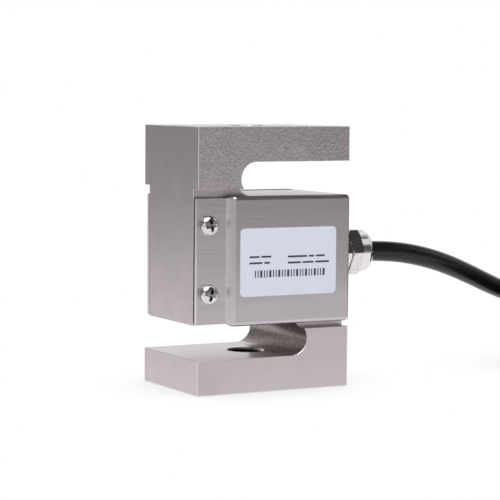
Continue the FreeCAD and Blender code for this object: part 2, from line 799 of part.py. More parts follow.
def stadium(radius):
    """A block as high as the hank, round at both ends."""
    spots = [(0, radius), (hank_run, radius), (hank_run + radius, 0), (hank_run, -radius), (0, -radius),
             (-radius, 0)]
    spots = [FreeCAD.Vector(hank_x + x, hank_y + y, 0) for x, y in spots]
    edges = [Part.LineSegment(spots[0], spots[1]), Part.Arc(*spots[1:4]),
             Part.LineSegment(spots[3], spots[4]), Part.Arc(spots[4], spots[5], spots[0])]
    outline = Part.Wire([edge.toShape() for edge in edges])
    return Part.Face(outline).extrude(FreeCAD.Vector(0, 0, hank_high))


def block(low, high):
    """A box between two corners."""
    low, high = FreeCAD.Vector(*low), FreeCAD.Vector(*high)
    return Part.makeBox(*(high - low), low)


def tie_spot():
    """The tie's middle, on the hank's rear run."""
    return hank_x + hank_run / 2, hank_y + hank_mean


def hank():
    """The outer shape of the wound turns, open where the cable comes in, under the tie and for the leads."""
    ring = stadium(hank_outer).cut(stadium(hank_outer - hank_width))
    rims = [edge for edge in ring.Edges if near(edge.BoundBox.ZLength, 0)]
    ring = ring.makeChamfer(0.3 * cable, rims)
    play, beyond = size("tie_play").value, 1
    run_in = block((hank_x - hank_outer - beyond, entry_y - cable / 2 - beyond * 2, hank_high - cable),
                   (hank_x, entry_y + cable, hank_high + beyond))
    tie_x, tie_y = tie_spot()
    half_tie, half_run = size("tie_width").value / 2 + play, hank_width / 2 + beyond
    groove = block((tie_x - half_tie, tie_y - half_run, 0),
                   (tie_x + half_tie, tie_y + half_run, size("tie_thickness").value + play))
    lane = block((hank_end - lead_room, lead_lane - cable, 0), (hank_end, lead_lane + cable / 2, cable))
    feature("cable_hank", ring.cut(run_in).cut(groove).cut(lane))


def tie():
    """A strap round the hank's rear run, with its lock on top."""
    thick, wide, play = (size(word).value for word in ("tie_thickness", "tie_width", "tie_play"))
    tie_x, tie_y = tie_spot()
    across, low, high = hank_width / 2 + play, thick, hank_high + play
    outer = block((tie_x - wide / 2, tie_y - across - thick, low - thick),
                  (tie_x + wide / 2, tie_y + across + thick, high + thick))
    outer = outer.makeFillet(thick, [edge for edge in outer.Edges if near(
        edge.BoundBox.YLength, 0) and near(edge.BoundBox.ZLength, 0)])
    inner = block((tie_x - wide / 2, tie_y - across, low), (tie_x + wide / 2, tie_y + across, high))
    lock = block((tie_x - wide / 2, tie_y, high), (tie_x + wide / 2, tie_y + size("tie_head").value,
                                                   high + 3 * thick))
    feature("hank_tie", outer.cut(inner).fuse(lock).removeSplitter())


def leads():
    """Four insulated cores and the screen's drain wire, side by side along the foot of the hank."""
    lead, gap = size("lead_diameter").value, size("lead_spacing").value
    names = ["lead_red", "lead_black", "lead_green", "lead_white", "lead_screen"]
    for step, name in enumerate(names, start=-2):
        lay = math.radians(90 - step * (144 if step % 2 else 36))
        y, z = lead_lane + gap * math.cos(lay), cable / 2 + gap * math.sin(lay)
        route = [(hank_end, y, z), (hank_end - 4, y, z)]
        for passed, apart, high in ((13, 1.14, 1.5), (25, 1.17, lead / 2), (38, 1.14, lead / 2)):
            route.append((hank_end - passed - abs(step) * 0.6, lead_lane + apart * step, high))
        solid, length, radii = tube(route, lead)
        print(name, "length", round(length, 1), "radii", [round(radius, 1) for radius in radii])
        feature(name, solid)


# ---- build -----------------------------------------------------------------------------------

beam()
for word, side in SIDES.items():
    cover(f"{word}_cover", side)
    gasket(f"{word}_gasket", side)
    for place_word, height in zip(("upper", "lower"), screw_heights):
        cover_screw(f"{word}_screw_{place_word}", side, height)
label()
gauges()
wiring()
gland()
cable_pieces()
hank()
tie()
leads()
doc.recompute()

for item in doc.Objects:
    if "Invalid" in item.State or "Error" in item.State:
        raise ValueError(f"{item.Name} failed: {item.State}")
os.makedirs("parts", exist_ok=True)
for node in nodes:
    shape = node.Shape
    if shape.isNull() or not shape.isValid() or not shape.Solids:
        raise ValueError(f"{node.Label} has no valid solid")
    shape.exportStep(f"parts/{node.Label}.step")
    print(node.Label, len(shape.Solids), "solids", round(shape.Volume, 1), "mm3")
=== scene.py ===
import json
import math
from functools import partial

import bmesh
import bpy
from mathutils import Matrix, Vector


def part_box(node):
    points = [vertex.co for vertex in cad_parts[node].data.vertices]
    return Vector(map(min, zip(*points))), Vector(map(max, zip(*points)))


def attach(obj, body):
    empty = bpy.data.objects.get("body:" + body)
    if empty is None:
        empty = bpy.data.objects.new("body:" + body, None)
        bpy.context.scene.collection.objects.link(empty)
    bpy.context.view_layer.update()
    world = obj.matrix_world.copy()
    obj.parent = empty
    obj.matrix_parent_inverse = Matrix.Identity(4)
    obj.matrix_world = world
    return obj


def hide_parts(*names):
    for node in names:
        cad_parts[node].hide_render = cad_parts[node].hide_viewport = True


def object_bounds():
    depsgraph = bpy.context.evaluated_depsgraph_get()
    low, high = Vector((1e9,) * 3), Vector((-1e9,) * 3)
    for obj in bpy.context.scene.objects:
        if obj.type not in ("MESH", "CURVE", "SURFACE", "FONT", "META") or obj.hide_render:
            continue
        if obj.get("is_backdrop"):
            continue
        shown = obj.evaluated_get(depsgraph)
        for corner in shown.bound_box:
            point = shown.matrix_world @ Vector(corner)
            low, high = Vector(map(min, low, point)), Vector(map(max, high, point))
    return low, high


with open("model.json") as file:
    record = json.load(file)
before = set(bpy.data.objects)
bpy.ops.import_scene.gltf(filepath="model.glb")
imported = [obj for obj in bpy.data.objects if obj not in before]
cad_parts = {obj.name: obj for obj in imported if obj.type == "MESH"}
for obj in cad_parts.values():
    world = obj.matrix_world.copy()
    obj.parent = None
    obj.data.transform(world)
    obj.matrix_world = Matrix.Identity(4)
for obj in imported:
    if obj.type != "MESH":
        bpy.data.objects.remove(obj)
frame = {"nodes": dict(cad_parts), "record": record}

# S-type load cell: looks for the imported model. Metres, in the model's own frame: X runs across the
# body towards the cable gland, Y to the rear, Z up from the bottom arm's face.

CAD_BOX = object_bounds()
MM = 0.001

beam_low, beam_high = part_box("s_beam_body")
cover_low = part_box("front_cover")[0]
label_low, label_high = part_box("label")
nut_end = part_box("gland_dome_nut")[1].x
MIDDLE = (beam_low.z + beam_high.z) / 2
HALF = (beam_high - beam_low) / 2
ARM = 10.1 * MM                             # each arm's height


def add_object(name, data):
    item = bpy.data.objects.new(name, data)
    bpy.context.scene.collection.objects.link(item)
    return item


# ---- camera --------------------------------------------------------------------------------

def camera():
    """A long lens, a little above the block and to the left of its front."""
    yaw, pitch, roll = (math.radians(angle) for angle in (28.638, 4.6088, 0.4473))
    across, above, distance = -1.196 * MM, -1.462 * MM, 578.05 * MM
    ahead = Vector((math.sin(yaw) * math.cos(pitch), math.cos(yaw) * math.cos(pitch),
                    -math.sin(pitch)))
    level = Vector((math.cos(yaw), -math.sin(yaw), 0))
    upright = level.cross(ahead)
    right = math.cos(roll) * level + math.sin(roll) * upright
    up = math.cos(roll) * upright - math.sin(roll) * level
    data = bpy.data.cameras.new("camera")
    data.lens = 139.75
    data.clip_start, data.clip_end = 0.01, 100
    item = add_object("camera", data)
    turn = Matrix((right, up, -ahead)).transposed().to_4x4()
    spot = Vector((0, 0, MIDDLE)) - (across * right + above * up + distance * ahead)
    item.matrix_world = Matrix.Translation(spot) @ turn
    bpy.context.scene.camera = item
    bpy.context.scene.view_settings.view_transform = "Standard"


# ---- cable ---------------------------------------------------------------------------------

CABLE = 5.9 * MM
ROUTE = [(30.8, 0.0, 38.5), (44.6, 0.0, 38.5), (57.6, 0.35, 37.25), (70.6, 1.6, 34.1),
         (83.0, 3.9, 29.6), (94.6, 6.8, 25.0), (104.0, 9.0, 21.9), (112.2, 10.05, 20.65)]
SWELL = [1.0, 1.06, 1.07, 1.06, 1.04, 1.02]  # the jacket's first stretch is a little thicker
HANK = Vector((120.4, -14.0)) * MM          # the middle of its nearer round end
HANK_RUN = 58 * MM
HANK_MEAN = 21.1 * MM                       # the ends' radius at the middle of the turns
HANK_ROWS = 4
ROUND_END = math.pi * HANK_MEAN
TURN = 2 * (HANK_RUN + ROUND_END)
POINTS_A_TURN = 36
SIDES = [1, -1, -1, 1, 1, -1, -1, 1]        # each turn's column, outer or inner, and its row
ROWS = [3, 3, 2, 2, 1, 1, 0, 0]
FIRST_SHIFT, SHIFT_SPAN = 216 * MM, 24 * MM  # where a turn moves to the next place, and over what
SHIFT_LEAD = 8.4 * MM                       # how much earlier each time
TIE_PASSED = HANK_RUN / 2
TIE_REACH, TIE_LIFT = 16 * MM, 1.2 * MM     # the strands rise a little to pass over the tie


def smooth(share):
    share = min(max(share, 0), 1)
    return share * share * (3 - 2 * share)


def on_hank(passed, outward, z):
    """A place on the hank, this far along its middle: rear run, far end, front run, near end."""
    passed %= TURN
    radius = HANK_MEAN + outward
    half, left = divmod(passed, TURN / 2)
    turn = max(left - HANK_RUN, 0) / HANK_MEAN
    x = min(left, HANK_RUN) - HANK_RUN / 2 + radius * math.sin(turn)
    y = radius * math.cos(turn)
    flip = -1 if half else 1
    return Vector((HANK.x + HANK_RUN / 2 + flip * x, HANK.y + flip * y, z))


def hank_points():
    """The cable's turns, from the top row down and from side to side. It moves to the next place
    near each turn's end, and each time a little earlier, so that it clears the strand that comes in
    beside it."""
    places = [(CABLE * side / 2, CABLE * (row + 0.5)) for side, row in zip(SIDES, ROWS)]
    step = TURN / POINTS_A_TURN
    length = TURN * (len(places) - 1) + TURN / 2
    for number in range(math.ceil(length / step) + 1):
        passed = min(number * step, length)
        outward, z = places[0]
        for index, (here, following) in enumerate(zip(places, places[1:])):
            since = passed - index * TURN - FIRST_SHIFT + index * SHIFT_LEAD
            share = smooth(since / SHIFT_SPAN)
            outward += (following[0] - here[0]) * share
            z += (following[1] - here[1]) * share
        from_tie = abs((passed - TIE_PASSED + TURN / 2) % TURN - TURN / 2)
        lift = (1 - z / (HANK_ROWS * CABLE)) * TIE_LIFT * smooth(1 - from_tie / TIE_REACH)
        yield on_hank(passed, outward, z + lift)


def cord_curve(name, points, diameter, material, resolution=6, widths=()):
    """A round cord along a smooth line with these control points. The first may be wider."""
    data = bpy.data.curves.new(name, "CURVE")
    data.dimensions = "3D"
    data.bevel_depth = diameter / 2
    data.bevel_resolution = 7
    data.resolution_u = resolution
    data.use_fill_caps = True
    spline = data.splines.new("NURBS")
    spline.points.add(len(points) - 1)
    for point, place in zip(spline.points, points):
        point.co = (*place, 1)
    for point, width in zip(spline.points, widths):
        point.radius = width
    spline.order_u = 3
    spline.use_endpoint_u = True
    data.materials.append(material)
    return add_object(name, data)


LEADS = ["red", "black", "green", "white", "screen"]
LEAD_DIAMETER = 1.0 * MM
LEAD_SPACING = 1.2 * MM                     # from the jacket's middle, inside its end
LEAD_PLACES = [(13, 1.14, 1.5), (25, 1.17, 0.5), (38, 1.14, 0.5)]    # along, apart, up, in mm


def lead_points(step):
    """One core out of the jacket's end, along the foot of the hank."""
    lane = HANK_MEAN + CABLE / 2
    lay = math.radians(90 - step * (144 if step % 2 else 36))
    end = on_hank(TURN / 2, CABLE / 2, CABLE / 2)
    first = end + LEAD_SPACING * Vector((0, math.cos(lay), math.sin(lay)))
    points = [first, first - Vector((4 * MM, 0, 0))]
    for passed, apart, z in LEAD_PLACES:
        points.append(Vector((end.x - (passed + abs(step) * 0.6) * MM,
                              HANK.y - lane + apart * step * MM, z * MM)))
    return points


# ---- materials -----------------------------------------------------------------------------

class Nodes:
    """A node tree while it is being made."""

    def __init__(self, tree):
        self.tree = tree

    def fill(self, node, **values):
        """Sets or links sockets. i0 is the first one, and _ stands for a space in a name."""
        for name, value in values.items():
            numbered = name[0] == "i" and name[1:].isdigit()
            socket = node.inputs[int(name[1:]) if numbered else name.replace("_", " ")]
            if isinstance(value, bpy.types.NodeSocket):
                self.tree.links.new(value, socket)
            else:
                socket.default_value = value

    def node(self, kind, settings=(), **values):
        node = self.tree.nodes.new(f"ShaderNode{kind}")
        for name, value in settings:
            setattr(node, name, value)
        self.fill(node, **values)
        return node

    def parts(self, vector):
        return self.node("SeparateXYZ", Vector=vector).outputs

    def math(self, operation, first, second=0.0):
        return self.node("Math", [("operation", operation)], i0=first, i1=second).outputs[0]

    def times(self, first, second):
        return self.math("MULTIPLY", first, second)

    def span(self, value, low, high, from_low=0.3, from_high=0.7, kind="LINEAR"):
        """low to high, as the value goes from from_low to from_high."""
        return self.node("MapRange", [("interpolation_type", kind)], i0=value, i1=from_low,
                         i2=from_high, i3=low, i4=high).outputs[0]


class Finish(Nodes):
    """A material while it is being made."""

    def __init__(self, name, **shader):
        self.data = bpy.data.materials.new(name)
        self.data.use_nodes = True
        super().__init__(self.data.node_tree)
        self.shader = self.tree.nodes["Principled BSDF"]
        self.fill(self.shader, **shader)
        self.place = self.node("TexCoord").outputs["Object"]

    def noise(self, size, where=None, detail=3.0, roughness=0.55):
        """Noise whose features are about this size, in metres."""
        return self.node("TexNoise", Vector=where or self.place, Scale=1 / size, Detail=detail,
                         Roughness=roughness).outputs["Fac"]

    def along_x(self, squeeze):
        """Places that make noise longer along X."""
        return self.node("Mapping", Vector=self.place, Scale=(squeeze, 1, 1)).outputs[0]

    def blend(self, share, first, second):
        colours = [(*colour, 1) if isinstance(colour, tuple) else colour
                   for colour in (first, second)]
        return self.node("Mix", [("data_type", "RGBA")], i0=share, i6=colours[0],
                         i7=colours[1]).outputs[2]

    def bump(self, height, depth, strength=1.0, **values):
        node = self.node("Bump", Height=height, Distance=depth, Strength=strength, **values)
        self.fill(self.shader, Normal=node.outputs[0])

    def uneven_bump(self, scratches):
        waves = self.noise(1.2 * MM, detail=1.0)
        self.bump(self.math("ADD", scratches, self.times(waves, 4)), 0.003 * MM)


SLOT_BAND = (18.6 * MM, 28.2 * MM)          # the slots' faces, which get painted shade, in height from the middle
SLOT_START = 0.4 * MM                       # how far in from the block's ends they begin
THREAD_BAND = (29 * MM, 37.9 * MM)          # the threads, painted nearly black as shade, in height from the middle
THREAD_OUTSIDE = 6.1 * MM
EDGE_HIGHLIGHT = 0.22 * MM                            # the width of the painted highlight along the block's edges
BELOW_TOP_ARM = 60 * MM                     # a height between the middle block and the top arm
PAINTED_LIGHT_LOW = (0.27, 0.0, 50 * MM, 62 * MM)   # painted light on the front: shares, and the heights for them
PAINTED_SHADE_RIGHT = (0.0, 0.35, 0.0, 22 * MM)    # painted shade on the top arm's front: shares, and the places along X
COARSER_HIGH = (0.15, 1.0, 15 * MM, 66 * MM)    # the grain's strength, and the heights for it


def blasted_steel():
    """Bead-blasted, nickel-plated alloy steel, with painted shade on its side and top faces, in its
    milled slots and in its threads, painted light low on its front, painted shade on the top arm's
    right, and painted highlights on its edges.
    """
    finish = Finish("blasted_steel", Metallic=1.0)
    above, times, span = partial(finish.math, "GREATER_THAN"), finish.times, finish.span
    size, plus = partial(finish.math, "ABSOLUTE"), partial(finish.math, "ADD")
    places = finish.parts(finish.place)
    normals = finish.parts(finish.node("NewGeometry").outputs["True Normal"])
    across, through = size(places["X"]), size(places["Y"])
    from_middle = size(finish.math("SUBTRACT", places["Z"], MIDDLE))
    front, side = above(size(normals["Y"]), 0.5), above(size(normals["X"]), 0.9)
    level = above(normals["Z"], 0.95)

    grain = finish.noise(0.62 * MM, detail=2.0, roughness=0.6)
    fine = finish.noise(0.28 * MM, detail=1.0)
    mottle = finish.noise(6 * MM, detail=3.0)
    tone = finish.blend(span(mottle, 0, 1), (0.625, 0.560, 0.575), (0.675, 0.605, 0.620))
    # Painted shade: side faces a little darker and top faces darker, by the way they face.
    tone = finish.blend(times(side, 0.12), tone, (0.40, 0.37, 0.385))
    tone = finish.blend(times(level, 0.25), tone, (0.45, 0.40, 0.42))
    # Painted light: the front gets paler towards the bottom, as if lit from the floor.
    painted_light = span(places["Z"], *PAINTED_LIGHT_LOW)
    tone = finish.blend(times(front, painted_light), tone, (0.80, 0.72, 0.735))
    # Painted shade: the top arm's front gets darker towards the right.
    painted_shade = times(above(places["Z"], BELOW_TOP_ARM), span(places["X"], *PAINTED_SHADE_RIGHT))
    tone = finish.blend(times(front, painted_shade), tone, (0.45, 0.40, 0.41))
    coarse = times(front, span(places["Z"], *COARSER_HIGH))
    light, dark = span(grain, 0, 0.6, 0.48, 0.62), span(fine, 0, 0.6, 0.48, 0.66)
    tone = finish.blend(times(coarse, light), tone, (0.83, 0.76, 0.77))
    tone = finish.blend(times(coarse, dark), tone, (0.29, 0.24, 0.25))

    # Painted shade, with the grain, on the slots' faces but their floors.
    inside = times(above(from_middle, SLOT_BAND[0]), above(SLOT_BAND[1], from_middle))
    inside = times(inside, above(HALF.x - SLOT_START, across))
    inside = times(inside, finish.math("SUBTRACT", 1.0, plus(front, level)))
    cut = finish.blend(span(grain, 0, 1, 0.35, 0.65), (0.20, 0.165, 0.16), (0.50, 0.43, 0.42))
    tone = finish.blend(inside, tone, cut)

    # Painted shade in the threaded holes, nearly black.
    from_axis = finish.math("SQRT", plus(times(across, across), times(through, through)))
    thread = times(above(from_middle, THREAD_BAND[0]), above(THREAD_BAND[1], from_middle))
    thread = times(thread, above(THREAD_OUTSIDE, from_axis))
    tone = finish.blend(thread, tone, (0.07, 0.06, 0.06))

    # A painted highlight along the block's outer edges.
    ends = plus(above(across, HALF.x - EDGE_HIGHLIGHT), above(through, HALF.y - EDGE_HIGHLIGHT))
    ends = plus(ends, above(from_middle, HALF.z - EDGE_HIGHLIGHT))
    tone = finish.blend(times(above(ends, 1.5), 0.5), tone, (0.97, 0.93, 0.93))

    # 0.3 on level faces, 0.42 on the front and back, and halfway elsewhere.
    rough = span(finish.math("SUBTRACT", front, level), 0.3, 0.42, -1.0, 1.0)
    finish.fill(finish.shader, Base_Color=tone, Roughness=rough)
    finish.bump(times(grain, span(coarse, 0.15, 1.0, 0.0, 1.0)), 0.07 * MM)
    return finish.data


SHEET_END_HIGHLIGHT = 0.06 * MM
PANEL = (0.2 * MM, 1.6 * MM)                # behind the cover's front, where its painted shade fades out
PANEL_SHADE_FADE = 12 * MM                        # how far below the middle the panel's painted shade starts


def brushed_steel():
    """Stainless sheet, brushed along X, with a painted highlight at its left end and painted shade
    on its rim and on the top of its panel.
    """
    finish = Finish("brushed_steel", Metallic=1.0)
    streak = finish.noise(0.25 * MM, finish.along_x(0.02), detail=4.0)
    band = finish.noise(2.5 * MM, finish.along_x(0.06), detail=2.0)
    places = finish.parts(finish.place)
    rise = finish.parts(finish.node("NewGeometry").outputs["Normal"])["Z"]
    tone = finish.blend(finish.span(streak, 0, 1), (0.545, 0.496, 0.522), (0.635, 0.582, 0.610))
    tone = finish.blend(finish.span(band, 0, 0.55), tone, (0.69, 0.64, 0.66))
    # Painted shade on the sheet's upward-facing rim.
    tone = finish.blend(finish.span(rise, 0, 0.55, 0.3, 0.8), tone, (0.12, 0.11, 0.115))
    # A painted highlight on the sheet's left end.
    end = finish.math("LESS_THAN", places["X"], cover_low.x + SHEET_END_HIGHLIGHT)
    tone = finish.blend(finish.times(end, 0.8), tone, (0.97, 0.93, 0.95))
    # Painted shade on the panel, growing towards the top.
    panel = finish.span(places["Y"], 1, 0, *(cover_low.y + behind for behind in PANEL))
    high = finish.span(places["Z"], 0, 0.5, MIDDLE - PANEL_SHADE_FADE, MIDDLE)
    tone = finish.blend(finish.times(panel, high), tone, (0.45, 0.41, 0.435))
    finish.fill(finish.shader, Base_Color=tone, Roughness=finish.span(streak, 0.26, 0.4))
    finish.bump(streak, 0.014 * MM, 0.8)
    return finish.data


def polished(name, tone, roughness):
    """Plated or bright metal, with fine scratches and a slightly uneven face."""
    finish = Finish(name, Metallic=1.0)
    scratches = finish.noise(0.15 * MM)
    darker = tuple(value * 0.88 for value in tone)
    finish.fill(finish.shader, Base_Color=finish.blend(finish.span(scratches, 0, 1), darker, tone),
                Roughness=finish.span(scratches, roughness * 0.8, roughness * 1.4))
    finish.uneven_bump(scratches)
    return finish.data


SCREW_HEAD, SCREW_EDGE = 2.4 * MM, 1.05 * MM    # the height of a screw's head, and of its rim
SCREW_CROWN = 83                            # its face falls by this times the radius squared
CROSS_REACH = 2.0 * MM


def screw_plating():
    """Bright screw heads, with painted shade in their cross recess. Each screw's Z is its axis, from
    under the head."""
    finish = Finish("screw_steel", Metallic=1.0)
    scratches = finish.noise(0.15 * MM)
    places = finish.parts(finish.place)
    squares = [finish.math("POWER", places[axis], 2.0) for axis in "XY"]
    spread = finish.math("ADD", *squares)
    face = finish.math("SUBTRACT", SCREW_HEAD, finish.times(spread, SCREW_CROWN))
    # Painted shade in the cross recess, below the head's face.
    recess_shade = finish.span(finish.math("SUBTRACT", face, places["Z"]), 0, 1, 0.12 * MM, 0.5 * MM)
    near_axis = finish.math("LESS_THAN", spread, CROSS_REACH ** 2)
    plate = finish.blend(finish.span(scratches, 0, 1), (0.67, 0.655, 0.66), (0.76, 0.745, 0.75))
    tone = finish.blend(finish.times(recess_shade, near_axis), plate, (0.36, 0.35, 0.35))
    finish.fill(finish.shader, Base_Color=tone, Roughness=finish.span(scratches, 0.136, 0.238))
    finish.uneven_bump(scratches)
    return finish.data


NUT_ROUND = 5.0 * MM                        # how much of the nut is round, back from its end
NUT_LEAN = 0.3                              # how far its upper side leans outward there
NUT_SHADE = (0.2, 0.18, 0.18)


def nut_plating():
    """The gland nut's nickel: specked flats, a painted shadow line where they end on its upper side,
    and a crowned round part with a painted dark reflection band at mid-height."""
    finish = Finish("nut_plating", Metallic=1.0)
    specks = finish.noise(0.5 * MM, detail=2.0)
    past = finish.math("SUBTRACT", finish.parts(finish.place)["X"], nut_end - NUT_ROUND)
    on_round = finish.span(past, 0, 1, 0.0, 0.1 * MM)
    face = finish.node("NewGeometry").outputs["Normal"]
    rise = finish.parts(face)["Z"]
    upper = finish.span(rise, 0, 1, -0.1, 0.15)
    # Painted dark reflection: a band at mid-height on the round part's upper side.
    band = finish.times(upper, finish.span(rise, 0.7, 0, 0.25, 0.45))
    # Painted shadow line where the flats end, on the upper side.
    line = finish.span(finish.math("ABSOLUTE", past), 0.7, 0, 0.15 * MM, 0.45 * MM)
    flats = finish.blend(finish.span(specks, 0, 1), (0.60, 0.56, 0.55), (0.88, 0.85, 0.85))
    tone = finish.blend(on_round, flats, finish.blend(band, (0.80, 0.77, 0.77), NUT_SHADE))
    tone = finish.blend(finish.times(line, upper), tone, NUT_SHADE)
    finish.fill(finish.shader, Base_Color=tone, Roughness=finish.span(specks, 0.10, 0.2))
    lean = finish.times(finish.times(on_round, upper), NUT_LEAN)
    lean = finish.node("CombineXYZ", X=lean).outputs[0]
    face = finish.node("VectorMath", [("operation", "ADD")], i0=face, i1=lean).outputs[0]
    face = finish.node("VectorMath", [("operation", "NORMALIZE")], i0=face).outputs[0]
    finish.bump(specks, 0.004 * MM, Normal=face)
    return finish.data


def soft_plastic(name, tone, roughness, grain=0.4 * MM, depth=0.02 * MM, spread=1.25, **shader):
    """Moulded plastic or rubber, with a faint grain."""
    finish = Finish(name, **shader)
    texture = finish.noise(grain, detail=4.0)
    lighter = tuple(min(value * spread, 1) for value in tone)
    finish.fill(finish.shader, Base_Color=finish.blend(finish.span(texture, 0, 1), tone, lighter),
                Roughness=finish.span(texture, roughness, roughness * 1.25))
    finish.bump(texture, depth, 0.5)
    return finish.data


PLASTICS = {
    "gasket_rubber": ((0.03, 0.03, 0.032), 0.6),
    # the rear gasket's paler copy of the gasket rubber: painted light on its shadowed line
    "painted_light_gasket": ((0.42, 0.39, 0.40), 0.5),
    "seal_rubber": ((0.025, 0.025, 0.025), 0.55),
    "claw_plastic": ((0.05, 0.05, 0.052), 0.4),
    "mark_ink": ((0.04, 0.04, 0.045), 0.5),
    "gauge_foil": ((0.55, 0.30, 0.10), 0.4),
    "coating": ((0.75, 0.74, 0.70), 0.3),
    "board": ((0.03, 0.22, 0.09), 0.4),
    "wire_enamel": ((0.40, 0.10, 0.03), 0.3),
    "core_insulation": ((0.55, 0.55, 0.54), 0.4),
    "tie_plastic": ((0.02, 0.02, 0.02), 0.4),
    "lead_red_skin": ((0.55, 0.02, 0.02), 0.35),
    "lead_black_skin": ((0.015, 0.015, 0.015), 0.35),
    "lead_green_skin": ((0.02, 0.30, 0.06), 0.35),
    "lead_white_skin": ((0.75, 0.75, 0.73), 0.35),
}
MATERIALS = {name: soft_plastic(name, *look) for name, look in PLASTICS.items()}
MATERIALS |= {
    "beam_steel": blasted_steel(),
    "cover_steel": brushed_steel(),
    "screw_steel": screw_plating(),
    "nut_plating": nut_plating(),
    "gland_metal": polished("gland_metal", (0.80, 0.77, 0.76), 0.12),
    "lead_screen_metal": polished("lead_screen_metal", (0.70, 0.66, 0.60), 0.3),
    "label_film": soft_plastic("label_film", (0.770, 0.800, 0.915), 0.4, grain=1.2 * MM,
                               depth=0.004 * MM, spread=1.02),
    "cable_jacket": soft_plastic("cable_jacket", (0.006, 0.006, 0.008), 0.24, grain=0.8 * MM,
                                 depth=0.015 * MM, IOR=1.42),
}
SPECIAL_FINISHES = {"rear_gasket": "painted_light_gasket", "gland_dome_nut": "nut_plating"}


def dress_nodes():
    """Each CAD node in the finish of its slot in the record, or in one of its own."""
    slots = {part["node"]: part["material_slot"] for part in frame["record"]["subparts"]}
    for name, item in frame["nodes"].items():
        item.data.materials.clear()
        item.data.materials.append(MATERIALS[SPECIAL_FINISHES.get(name) or slots[name]])


# ---- pieces made here ----------------------------------------------------------------------

SHARP = 35                                  # an edge sharper than this isn't smoothed, in degrees


def new_mesh(name, shape):
    """A bmesh as mesh data, its faces turned outward."""
    data = bpy.data.meshes.new(name)
    bmesh.ops.recalc_face_normals(shape, faces=shape.faces)
    shape.to_mesh(data)
    shape.free()
    return data


def add_piece(name, shape, slot, *nodes):
    """A bmesh as a piece of the model, in place of these CAD nodes."""
    data = new_mesh(name, shape)
    item = add_object(name, data)
    data.materials.append(MATERIALS[slot])
    shade(data, SHARP)
    if nodes:
        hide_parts(*nodes)
    return item


def shade(data, sharp):
    """Smooth, but for sharp edges and for flat faces square to the axes."""
    square = [max(abs(value) for value in face.normal) > 0.9999 for face in data.polygons]
    data.polygons.foreach_set("use_smooth", [not flat for flat in square])
    inherited = data.attributes.get("custom_normal")
    if inherited:
        data.attributes.remove(inherited)
    data.set_sharp_from_angle(angle=math.radians(sharp))


def carve(item, shape, sharp=SHARP):
    """Takes a bmesh's volume out of a piece."""
    cutter = add_object("cutter", new_mesh("cutter", shape))
    cut = item.modifiers.new("cut", "BOOLEAN")
    cut.operation, cut.solver, cut.object = "DIFFERENCE", "EXACT", cutter
    graph = bpy.context.evaluated_depsgraph_get()
    carved = bpy.data.meshes.new_from_object(item.evaluated_get(graph))
    item.modifiers.clear()
    item.data = carved
    shade(carved, sharp)
    bpy.data.objects.remove(cutter)


def loft(shape, rings):
    """Faces between rings of as many places each, and over both ends."""
    rings = [[shape.verts.new(place) for place in ring] for ring in rings]
    for low, high in zip(rings, rings[1:]):
        for index in range(len(low)):
            after = (index + 1) % len(low)
            shape.faces.new((low[index], low[after], high[after], high[index]))
    shape.faces.new(rings[0][::-1])
    shape.faces.new(rings[-1])


CROSS_TURNS = {"front_screw_upper": 10, "front_screw_lower": -12,
               "rear_screw_upper": 35, "rear_screw_lower": 62}
CROSS_SECTIONS = [(0.6, 0.25, 0.8), (1.2, 0.34, 1.4), (2.05, 0.5, 2.6)]  # arm, half width, height
HEAD_STEPS, ROUND_STEPS = 15, 72
CORE, CREST, RIDGE_PITCH = 1.2 * MM, 1.4 * MM, 0.5 * MM     # the screw's thread, as plain ridges
GROOVE = [(0, 0.34), (-0.5, 0.38), (-0.5, 0.62), (-0.1, 0.64), (0, 0.74)]  # in its rim, in mm


def round_ring(radius, height):
    angles = (2 * math.pi * step / ROUND_STEPS for step in range(ROUND_STEPS))
    return [(radius * math.cos(angle), radius * math.sin(angle), height) for angle in angles]


def cross(arm, half, height):
    corners = [(half, half), (arm, half), (arm, -half), (half, -half), (half, -arm),
               (-half, -arm), (-half, -half), (-arm, -half), (-arm, half), (-half, half),
               (-half, arm), (half, arm)]
    return [(x * MM, y * MM, height * MM) for x, y in corners]


def screw(node):
    """A pan-head screw with a tapered cross recess."""
    low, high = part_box(node)
    radius, tip = (high.x - low.x) / 2, (high.y - low.y) - SCREW_HEAD
    outline = [(1.0 * MM, -tip), (CREST, -tip + 0.4 * MM)]
    ridge = -tip + 0.6 * MM
    while ridge < -1.2 * MM:
        outline += [(CORE, ridge), (CREST, ridge + RIDGE_PITCH / 2)]
        ridge += RIDGE_PITCH
    outline += [(CREST, 0), (radius, 0)]
    outline += [(radius + inward * MM, height * MM) for inward, height in GROOVE]
    outline.append((radius, SCREW_EDGE))
    for step in range(1, HEAD_STEPS):
        angle = math.radians(90 * step / HEAD_STEPS)
        outline.append((radius * math.cos(angle) ** 0.8,
                        SCREW_EDGE + (SCREW_HEAD - SCREW_EDGE) * math.sin(angle)))
    shape = bmesh.new()
    loft(shape, [round_ring(*place) for place in outline])
    item = add_piece(f"{node}_cross", shape, "screw_steel", node)
    shape = bmesh.new()
    loft(shape, [cross(*section) for section in CROSS_SECTIONS])
    carve(item, shape)
    front = node.startswith("front")
    outward = Matrix.Rotation(math.radians(90 if front else -90), 3, "X")
    turn = Matrix.Rotation(math.radians(CROSS_TURNS[node]), 3, "Z")
    item.rotation_euler = (outward @ turn).to_euler()
    item.location = ((low.x + high.x) / 2, low.y + SCREW_HEAD if front else high.y - SCREW_HEAD,
                     (low.z + high.z) / 2)
    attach(item, "root")


THREAD_PITCH = 1.75 * MM
THREAD_STEPS = 40
THREAD_PROFILE = [(4.8, -0.8), (6.0, -0.11), (6.0, 0.11), (4.8, 0.8)]     # radius, height, in mm
THREAD_SHARP = 25


